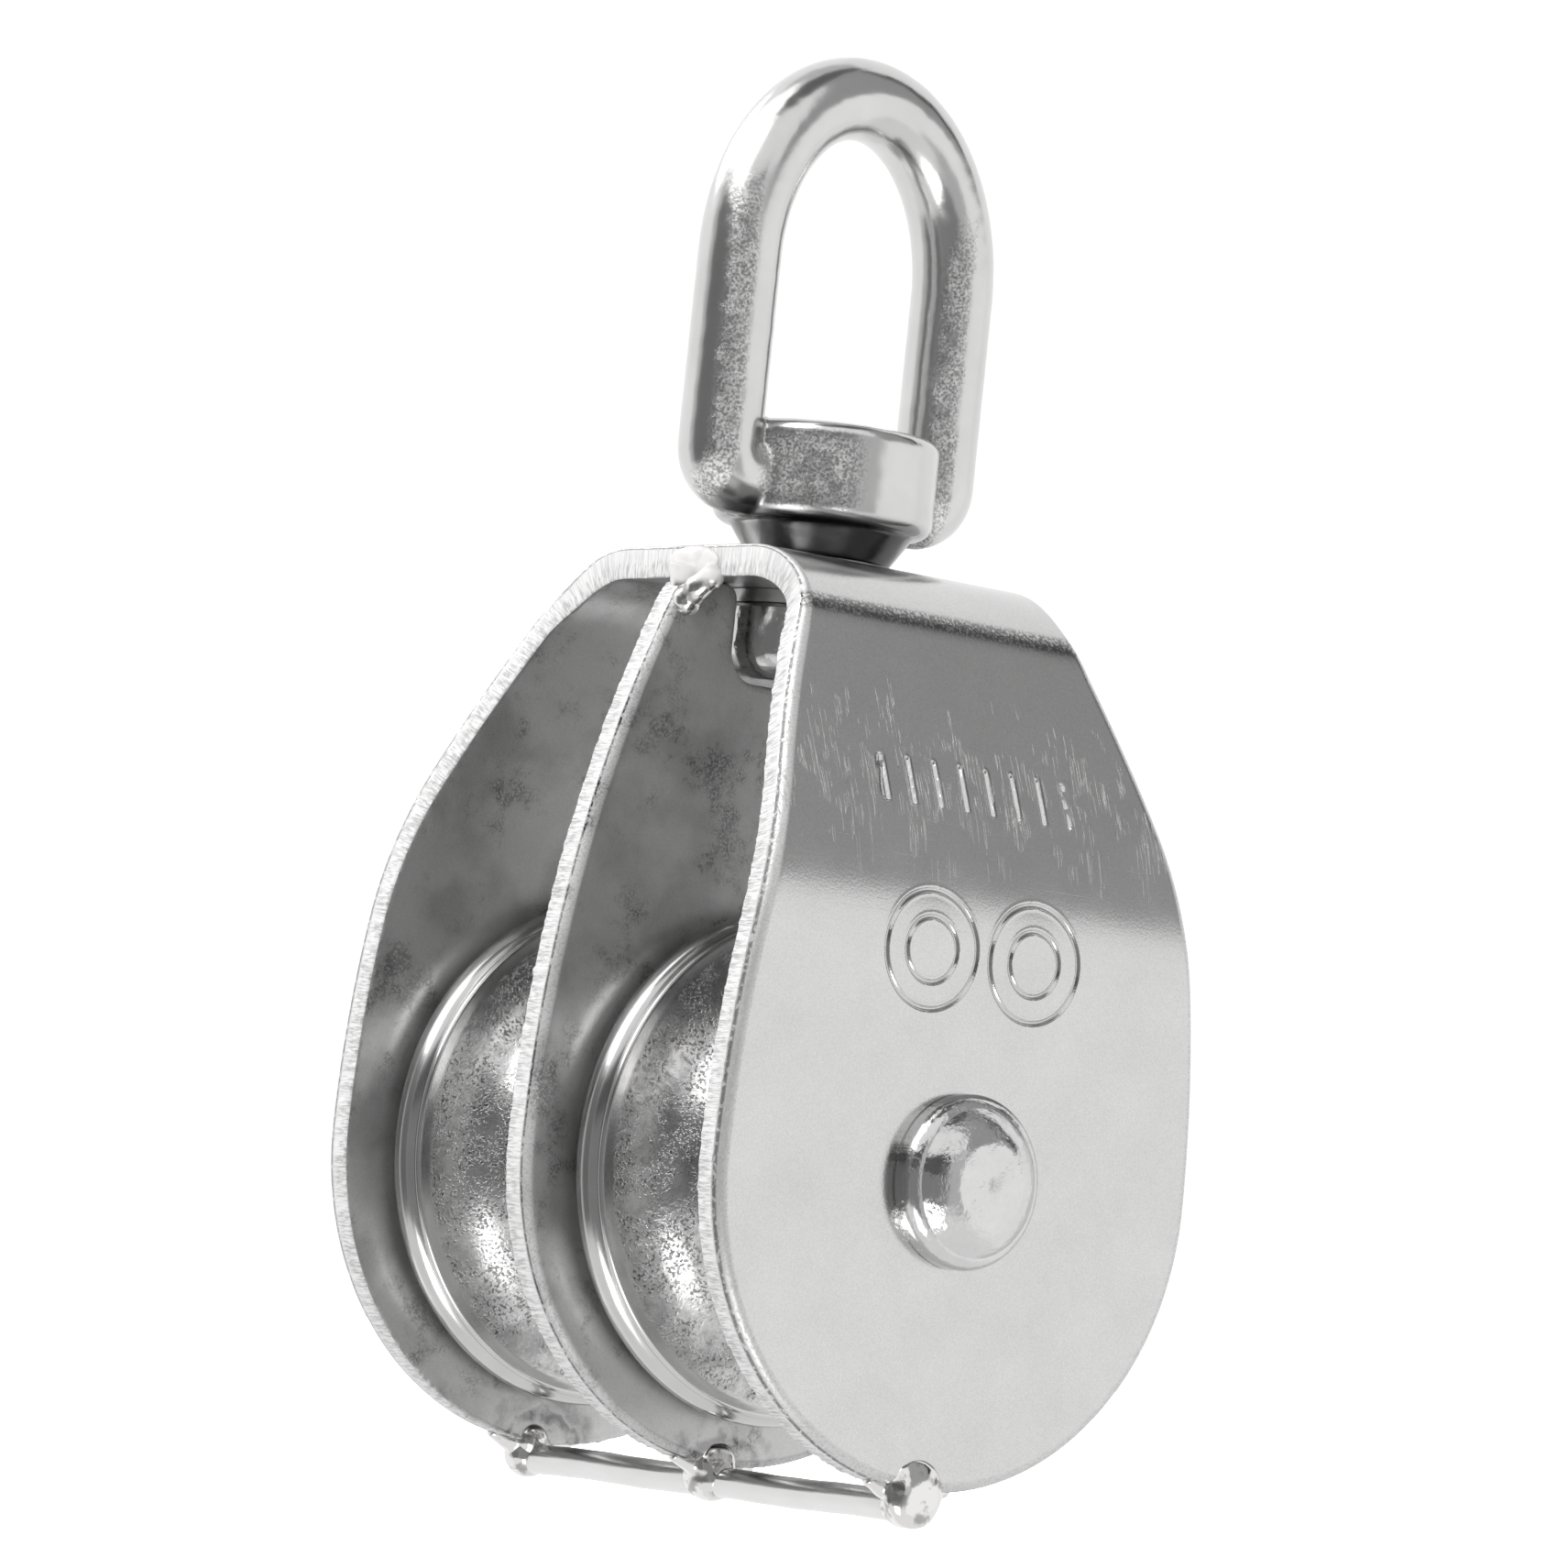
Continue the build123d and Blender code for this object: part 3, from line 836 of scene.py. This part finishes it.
def stamp(vertices, faces, face_slots):
    """Finer faces where the marks go on the flat blank, pressed in along the marks."""
    mesh = bpy.data.meshes.new("blank")
    mesh.from_pydata(vertices, [], faces)
    mesh.polygons.foreach_set("material_index", face_slots)
    work = bmesh.new()
    work.from_mesh(mesh)
    samples, heights = bent_heights()
    low_z, high_z = RING_Z - RING_RADII[0] - 0.83, BAR_Z + BAR_HALF_HEIGHT + 0.6
    start = np.interp(-high_z, -heights, samples)
    end = np.interp(-low_z, -heights, samples)
    reach = RING_Y + RING_RADII[0] + 0.7

    def inside(place, margin):
        along, across = start - margin < place.x < end + margin, abs(place.y) < reach + margin
        return along and across and place.z < 0.01

    chosen = [face for face in work.faces if inside(face.calc_center_median(), 0)]
    edges = list({edge for face in chosen for edge in face.edges})
    bmesh.ops.subdivide_edges(work, edges=edges, cuts=4, use_grid_fill=True)
    pressed = [vertex for vertex in work.verts if inside(vertex.co, 1)]
    along = np.array([vertex.co.x for vertex in pressed])
    y = np.array([vertex.co.y for vertex in pressed])
    z = fold(along, np.zeros_like(along))[1]
    for vertex, depth in zip(pressed, groove_depth(mark_distance(y, z))):
        vertex.co.z += depth
    work.to_mesh(mesh)
    work.free()
    points = vertex_rows(mesh, "co")
    new_faces = [tuple(polygon.vertices) for polygon in mesh.polygons]
    new_slots = [polygon.material_index for polygon in mesh.polygons]
    bpy.data.meshes.remove(mesh)
    return points, new_faces, new_slots


def slots_by_column(count, profile):
    """Material slot of each band face: 1 on the cut face, 0 elsewhere."""
    slots = []
    for (inset, _), (next_inset, _) in zip(profile, profile[1:]):
        slots.append(int(inset == 0.0 and next_inset <= BURR))
    return slots * count


def outer_shell(sheet, cut):
    """Both cheeks and the top: a flat blank with a worked edge, stamped, then bent."""
    half = strip_outline()
    other = np.array([(along, -across) for along, across in half[-2:0:-1]])
    loop = np.concatenate((half, other))
    profile = edge_profile(ROLLED_EDGE)
    top_end, cheek_start, top_share = 9.0, 16.0, 0.3
    narrowed = np.interp(np.abs(loop[:, 0]), [top_end, cheek_start], [top_share, 1.0])
    band = edge_band(loop, profile, narrowed, 1.0)
    count, columns = len(loop), len(profile)
    vertices = [tuple(v) for v in band.reshape(-1, 3)]
    faces = band_faces(count, columns)
    slots = slots_by_column(count, profile)
    outer_ring = [row * columns for row in range(count)]
    inner_ring = [row * columns + columns - 1 for row in range(count)]
    marked = np.linspace(0.24, 0.76, 47)
    before, after = np.linspace(0, marked[0], 6)[1:-1], np.linspace(marked[-1], 1, 6)[1:-1]
    faces += fill_rows(vertices, outer_ring, [*before, *marked, *after])
    inner_from = len(vertices)
    faces += fill_rows(vertices, inner_ring, [0.25, 0.5, 0.75])
    inner_to = len(vertices)
    slots += [0] * (len(faces) - len(slots))
    points, faces, slots = stamp(vertices, faces, slots)
    x, z = fold(points[:, 0], points[:, 2])
    bent = np.stack((x, points[:, 1], z), 1)
    piece = mesh_piece("outer_shell_looks", bent, faces, [sheet, cut], slots, sharp=50)
    edge_marks(piece, count, profile, ROLLED_EDGE, inner_from, inner_to)
    stand_in(piece, "outer_shell", "block")


def plate_outline():
    """Closed outline (y, z) of the centre plate, anticlockwise from its foot."""
    side_centre = PLATE_RADIUS - CENTRE_SIDE_RADIUS
    corner_z = CENTRE_TOP - CENTRE_CORNER
    lean = math.degrees(math.asin(corner_z / (CENTRE_SIDE_RADIUS - CENTRE_CORNER)))
    corner_y = side_centre + (CENTRE_SIDE_RADIUS - CENTRE_CORNER) * math.cos(math.radians(lean))
    notch_floor = CENTRE_TOP - NOTCH_DEPTH
    tip = (NOTCH_HALF_WIDTH + NOTCH_TIP, CENTRE_TOP - NOTCH_TIP)
    half = arc_about((0, 0), PLATE_RADIUS, -90, 0, 80)
    half += arc_about((side_centre, 0), CENTRE_SIDE_RADIUS, 0, lean, 80)[1:]
    half += arc_about((corner_y, corner_z), CENTRE_CORNER, lean, 90, 14)[1:]
    half += arc_about(tip, NOTCH_TIP, 90, 180, 12)
    half += arc_about((NOTCH_HALF_WIDTH - NOTCH_CORNER, notch_floor + NOTCH_CORNER), NOTCH_CORNER, 0, -90, 14)
    half += [(0, notch_floor)]
    half = evenly(half, EDGE_STEP)
    return np.concatenate((half, mirrored(half[1:-1])))


def centre_plate(sheet, cut):
    """Flat divider with the same worked edge, rolled on its +X side."""
    loop = plate_outline()
    profile = edge_profile(CENTRE_ROLLED_EDGE)
    band = edge_band(loop, profile, np.ones(len(loop)), 6.0)
    count, columns = len(loop), len(profile)
    vertices = band.reshape(-1, 3)
    faces = band_faces(count, columns)
    slots = slots_by_column(count, profile)
    faces.append(tuple(row * columns for row in range(count)))
    faces.append(tuple(row * columns + columns - 1 for row in range(count)))
    slots += [0, 0]
    placed = np.stack((SHEET / 2 - vertices[:, 2], vertices[:, 0], vertices[:, 1]), 1)
    piece = mesh_piece("centre_plate_looks", placed, faces, [sheet, cut], slots, sharp=50)
    edge_marks(piece, count, profile, CENTRE_ROLLED_EDGE, 0, 0)
    stand_in(piece, "centre_plate", "block")


# ---- round parts

def sheave_profile():
    """Closed section of a sheave about its own middle: lips, beads, groove, recessed sides and bore."""
    half = SHEAVE_WIDTH / 2
    floor = half - 0.8
    lip_foot = SHEAVE_RADIUS - LIP_RADIUS
    lip_centre = half - LIP_RADIUS
    crease = (lip_centre - LIP_RADIUS * math.sin(LIP_WRAP), lip_foot + LIP_RADIUS * math.cos(LIP_WRAP))
    groove = (crease[0] - BEAD_WIDTH, crease[1] - 0.25)
    bead_top = (crease[0] - BEAD_WIDTH / 2, crease[1] + 0.06)
    right = [(half, BUSH_HIGH.z), (half, 7.4), (floor, 8.0), (floor, 12.3)]
    right += arc_through((floor, 12.6), (half - 0.2, 13.0), (half, lip_foot), 10)
    right += arc_through((half, lip_foot), (lip_centre, SHEAVE_RADIUS), crease, 28)[1:]
    right += arc_through(crease, bead_top, groove, 9)[1:]
    bed = arc_through(groove, (0, groove[1] - groove[0]), (-groove[0], groove[1]), 60)[1:]
    return right + bed + mirrored(right[:-1])


def sheave(name, centre, body, material):
    """Grooved wheel about the axle."""
    vertices, faces = lathe(sheave_profile(), closed=True)
    piece = mesh_piece(name + "_looks", vertices + np.array((centre, 0, 0)), faces, [material])
    stand_in(piece, name, body)


def axle(material):
    """Pin with a stepped, rounded head at each end."""
    shank, bevel, hole = 4.0, 0.12, 0.6
    crease = (HALF_WIDTH + 1.65, 4.5)
    side_end = (HALF_WIDTH + 0.7, HEAD_RADIUS)
    end = HALF_WIDTH + HEAD_HEIGHT
    right = [(0, shank), (HALF_WIDTH, shank)]
    right += [(HALF_WIDTH, HEAD_RADIUS - bevel), (HALF_WIDTH + bevel, HEAD_RADIUS), side_end]
    right += arc_through(side_end, (HALF_WIDTH + 1.25, 5.09), crease, 12)[1:]
    right += arc_through(crease, (HALF_WIDTH + 2.40, 3.60), (end - 0.04, 2.55), 16)[1:]
    right += [(end, 2.3), (end, hole)]
    piece = mesh_piece("axle_pin_looks", *lathe(mirrored(right[1:]) + right), [material], sharp=28)
    stand_in(piece, "axle_pin", "block")


def stud(material):
    """Swivel stud: a round head inside the shell and a neck up into the eye's collar."""
    head_radius, neck, corner, bevel, hole = STUD_HIGH.x, 3.5, 2.0, 0.25, 0.6
    head_top = CENTRE_TOP - 0.9
    bottom = STUD_LOW.z
    profile = [(bottom, hole), (bottom, head_radius - corner - 0.6)]
    profile += arc_about((bottom + corner, head_radius - corner), corner, 180, 90, 16)
    profile += [(head_top - bevel, head_radius), (head_top, head_radius - bevel)]
    profile += [(head_top, neck), (STUD_HIGH.z, neck), (STUD_HIGH.z, hole)]
    piece = mesh_piece("swivel_stud_looks", *lathe(profile, along_z=True), [material])
    stand_in(piece, "swivel_stud", "swivel")


def eye_path():
    """Middle line (y, z) of the eye's bar, from the collar's middle round and back."""
    foot = COLLAR_BOTTOM + EYE_BAR
    corner = 1.5
    right = [(0, foot), (EYE_REACH - corner, foot)]
    right += arc_about((EYE_REACH - corner, foot + corner), corner, -90, 0, 10)[1:]
    rise = EYE_HIGH.z - EYE_BAR - EYE_SPRING
    right += [(EYE_REACH, z) for z in np.linspace(foot + corner, EYE_SPRING, 24)[1:]]
    angles = np.linspace(0, math.pi / 2, 40)[1:]
    right += [(EYE_REACH * math.cos(t), EYE_SPRING + rise * math.sin(t)) for t in angles]
    return right + mirrored(right[:-1])


def swivel_eye(material):
    """Bar bent to an oval ring that grows out of a round collar."""
    path = [Vector((0, y, z)) for y, z in eye_path()]
    foot_round, top_round, hole = 1.1, 0.8, 0.6
    collar = [(COLLAR_BOTTOM, hole), (COLLAR_BOTTOM, COLLAR_RADIUS - foot_round)]
    collar += arc_about((COLLAR_BOTTOM + foot_round, COLLAR_RADIUS - foot_round), foot_round, 180, 90, 8)[1:]
    collar += arc_about((COLLAR_TOP - top_round, COLLAR_RADIUS - top_round), top_round, 90, 0, 8)
    collar += [(COLLAR_TOP, COLLAR_RADIUS - 1.0), (COLLAR_TOP, hole)]
    boss_top = COLLAR_BOTTOM + 0.8
    boss = [(BOSS_BOTTOM, hole), (BOSS_BOTTOM, BOSS_RADIUS), (boss_top, BOSS_TOP_RADIUS), (boss_top, hole)]
    shapes = [tube(path, [EYE_BAR] * len(path), 96)]
    shapes += [lathe(profile, along_z=True, turns=180) for profile in (collar, boss)]
    piece = melted("swivel_eye_looks", shapes, 0.13, 8, material, lumps=0.012)
    stand_in(piece, "swivel_eye", "swivel")


def bottom_rod(material):
    """Thin drawn rod, cut square, not quite straight."""
    path, radii = [], []
    for along in np.linspace(ROD_LOW.x, ROD_HIGH.x, 60):
        sag = 0.05 * math.sin(along * 0.31)
        path.append((along, ROD_Y + sag, ROD_Z + 0.04 * math.sin(along * 0.47 + 1)))
        radii.append(ROD_RADIUS * (1 + 0.01 * math.sin(along * 1.7)))
    piece = mesh_piece("bottom_rod_looks", *tube(path, radii, 64), [material], sharp=60)
    stand_in(piece, "bottom_rod", "block")


# ---- welds

def bottom_weld(name, middle, half_length, half_width, material, seed):
    """Drop that swallows the rod under a plate, creeps up the plate's +X face and runs out along its foot."""
    face = middle + SHEET / 2
    shapes = [ball((middle, ROD_Y, ROD_Z + 0.35), (half_length, 1.6, 1.6))]
    centre = (face - 0.35, ROD_Y + 0.4 * (half_width - 2.0), ROD_Z + 1.5 - 0.3 * half_width)
    shapes.append(ball(centre, (1.05, half_width, half_width)))
    for side in (-1, 1):
        path, radii = [], []
        for share in np.linspace(0, 1, 14):
            y = ROD_Y + side * (0.4 + 2.8 * share)
            path.append((middle, y, -math.sqrt(PLATE_RADIUS ** 2 - y * y) - 0.2 + 0.3 * share))
            radii.append(1.0 - 0.6 * share)
        shapes.append(tube(path, radii, 24))
    piece = melted(name + "_looks", shapes, 0.09, 14, material, lumps=0.06, seed=seed)
    stand_in(piece, name, "block")


def top_weld(name, side, material, seed):
    """Wide smear across the strip's cut face, a neck to the centre plate's corner and a ridge beside it."""
    edge = side * STRIP_HALF_WIDTH

    def place(x, out, below):
        return (x, edge + side * out, SHELL_TOP - below)

    smear = ball(place(0.6, 0, 1.02), (2.5, 0.42, 1.0))
    neck = tube([place(0.2, 0, 1.3), place(0, 0.1, 2.8), place(0, 0.1, 4.4)], [1.2, 0.85, 0.55], 24)
    ridge = [place(0.9, 0.45, 3.6), place(1.8, 0.40, 2.8), place(2.7, 0.15, 2.1)]
    shapes = [smear, neck, tube(ridge, [0.80, 0.86, 0.70], 24)]
    shapes += [ball(ridge[0], (0.98, 0.98, 0.98)), ball(ridge[2], (0.80, 0.80, 0.80))]
    piece = melted(name + "_looks", shapes, 0.08, 24, material, lumps=0.06, seed=seed)
    stand_in(piece, name, "block")


# ---- studio

def camera():
    """Long lens, a little below the object and rolled."""
    aim = Vector((0.00101, -0.00166, 0.02376))
    azimuth, pitch, roll = math.radians(50.64), math.radians(4.42), math.radians(-5.93)
    distance = 0.4337
    flat = Vector((-math.sin(azimuth), math.cos(azimuth), 0))
    look = flat * math.cos(pitch) + Vector((0, 0, math.sin(pitch)))
    flat_right = look.cross(Vector((0, 0, 1))).normalized()
    flat_up = flat_right.cross(look)
    up = flat_up * math.cos(roll) + flat_right * math.sin(roll)
    right = look.cross(up)
    data = bpy.data.cameras.new("camera")
    data.lens = 160.2
    data.sensor_width = 36
    data.clip_start = 0.01
    cam = linked("camera", data)
    place = Matrix((right, up, -look)).transposed().to_4x4()
    place.translation = aim - look * distance
    cam.matrix_world = place
    bpy.context.scene.camera = cam
    return flat_right


class Sky(Shader):
    """World whose colour depends on direction: plain to the camera, light and dark areas in reflections."""

    def __init__(self, side):
        self.world = bpy.data.worlds.new("studio")
        bpy.context.scene.world = self.world
        self.world.use_nodes = True
        self.tree = self.world.node_tree
        self.background = self.tree.nodes["Background"]
        direction = self.node("TexCoord").outputs["Generated"]
        x, y, z = self.axes(direction)
        toward = Vector((side.y, -side.x))
        across = self.plus(self.times(x, side.x), self.times(y, side.y))
        ahead = self.plus(self.times(x, toward.x), self.times(y, toward.y))
        self.azimuth = self.math("DEGREES", self.math("ARCTAN2", across, ahead))
        self.elevation = self.math("DEGREES", self.math("ARCSINE", z))
        self.light = self.fade(self.elevation, -40, 60, 0.60, 0.65)

    def patch(self, azimuth, elevation, soft, brightness):
        """Area between two azimuths and two elevations, in degrees, that shows this brightness."""
        across, up = self.window(self.azimuth, *azimuth, soft), self.window(self.elevation, *elevation, soft)
        share = self.times(across, up)
        self.light = self.mix(share, self.light, brightness)


def studio(side):
    """White surroundings with dark flags, as for a product picture. Azimuth 0 is the camera."""
    sky = Sky(side)
    # White table, and the white wall on the left and behind.
    sky.patch((-180, 180), (-90, -30), 8, 0.95)
    sky.patch((-180, -97), (-60, 60), 8, 1.10)
    # Dark flags on the left and at the camera, and white cards on the right.
    sky.patch((-74, -37), (-25, 28), 9, 0.20)
    sky.patch((-28, 24), (-28, 18), 8, 0.28)
    sky.patch((60, 110), (-30, 13), 4, 1.12)
    sky.patch((114, 180), (-30, 62), 5, 1.05)
    # Card over the camera with a dark bar below it, and two small bright lamps.
    sky.patch((-30, 50), (24, 58), 6, 1.05)
    sky.patch((-30, 26), (11, 25), 3, 0.10)
    sky.patch((-138, -114), (27, 41), 6, 7.0)
    sky.patch((-10, 20), (-53, -36), 5, 5.0)
    # Soft light high on the left, the dim ceiling, and the grey flag mirrored in the slanted cheek.
    sky.patch((-110, -36), (36, 76), 8, 1.9)
    sky.patch((-30, 125), (66, 90), 8, 0.14)
    sky.patch((54, 104), (17, 66), 2, 0.40)
    sky.patch((104, 113), (22, 60), 3, 0.03)
    rays = sky.node("LightPath").outputs
    seen = sky.mix(rays["Is Diffuse Ray"], sky.light, 1.0)
    sky.put(sky.background.inputs["Strength"], sky.mix(rays["Is Camera Ray"], seen, 1.05))
    sky.background.inputs["Color"].default_value = (1, 1, 1, 1)


def lamp(name, place, aim, size, watts):
    """Square lamp that shines on a point."""
    data = bpy.data.lights.new(name, "AREA")
    data.energy = watts
    data.size = size
    light = linked(name, data)
    light.location = place
    light.rotation_euler = (Vector(aim) - light.location).to_track_quat("-Z", "Y").to_euler()


def floor():
    """Plain pale floor some way under the hanging block."""
    level, reach = SHELL_LOW.z - 11, 3000
    corners = [(x * reach, y * reach, level) for x, y in ((-1, -1), (1, -1), (1, 1), (-1, 1))]
    s = Shader("floor")
    s.metallic(0)
    s.tone(s.mix(s.grain(40.0, 2.0), 0.90, 0.94))
    s.roughness(0.9)
    away = s.fade(s.distance(0, 0, level), 90, 260)
    s.bsdf.inputs["Emission Color"].default_value = (1, 1, 1, 1)
    s.put(s.bsdf.inputs["Emission Strength"], away)
    piece = mesh_piece("floor", corners, [(0, 1, 2, 3)], [s.material])
    piece.visible_glossy = False


def finish_cad_nodes():
    """The plain washers and bushes keep their CAD shape and take a worked material."""
    for slot, material in (("bush", BRONZE), ("washer", WASHER)):
        for name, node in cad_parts.items():
            if name.endswith(slot):
                node.data.materials.clear()
                node.data.materials.append(material)


SHEET_METAL = sheet_metal()
CUT = cut_edge()
SHEAVE_STEEL = rolled_steel()
EYE_STEEL = cast_polish()
AXLE_STEEL = turned_steel("axle_steel", True)
STUD_STEEL = turned_steel("stud_steel", False)
ROD_STEEL = drawn_steel()
WELD = weld_metal()
BRONZE = bronze()
WASHER = washer_steel()

outer_shell(SHEET_METAL, CUT)
centre_plate(SHEET_METAL, CUT)
sheave("left_sheave", -SHEAVE_CENTRE, "left_wheel", SHEAVE_STEEL)
sheave("right_sheave", SHEAVE_CENTRE, "right_wheel", SHEAVE_STEEL)
axle(AXLE_STEEL)
stud(STUD_STEEL)
swivel_eye(EYE_STEEL)
bottom_rod(ROD_STEEL)
bottom_weld("bottom_weld_left", -(HALF_WIDTH - SHEET / 2), 1.5, 1.1, WELD, 3.0)
bottom_weld("bottom_weld_centre", 0.0, 2.0, 1.5, WELD, 9.0)
bottom_weld("bottom_weld_right", HALF_WIDTH - SHEET / 2, 1.5, 2.15, WELD, 14.0)
top_weld("top_weld_front", -1, WELD, 5.0)
top_weld("top_weld_back", 1, WELD, 21.0)
finish_cad_nodes()
studio(camera())
lamp("key", (0.10, -0.70, 0.75), (0, 0, 0.02), 0.5, 2.5)
floor()
bpy.context.scene.view_settings.view_transform = "Standard"
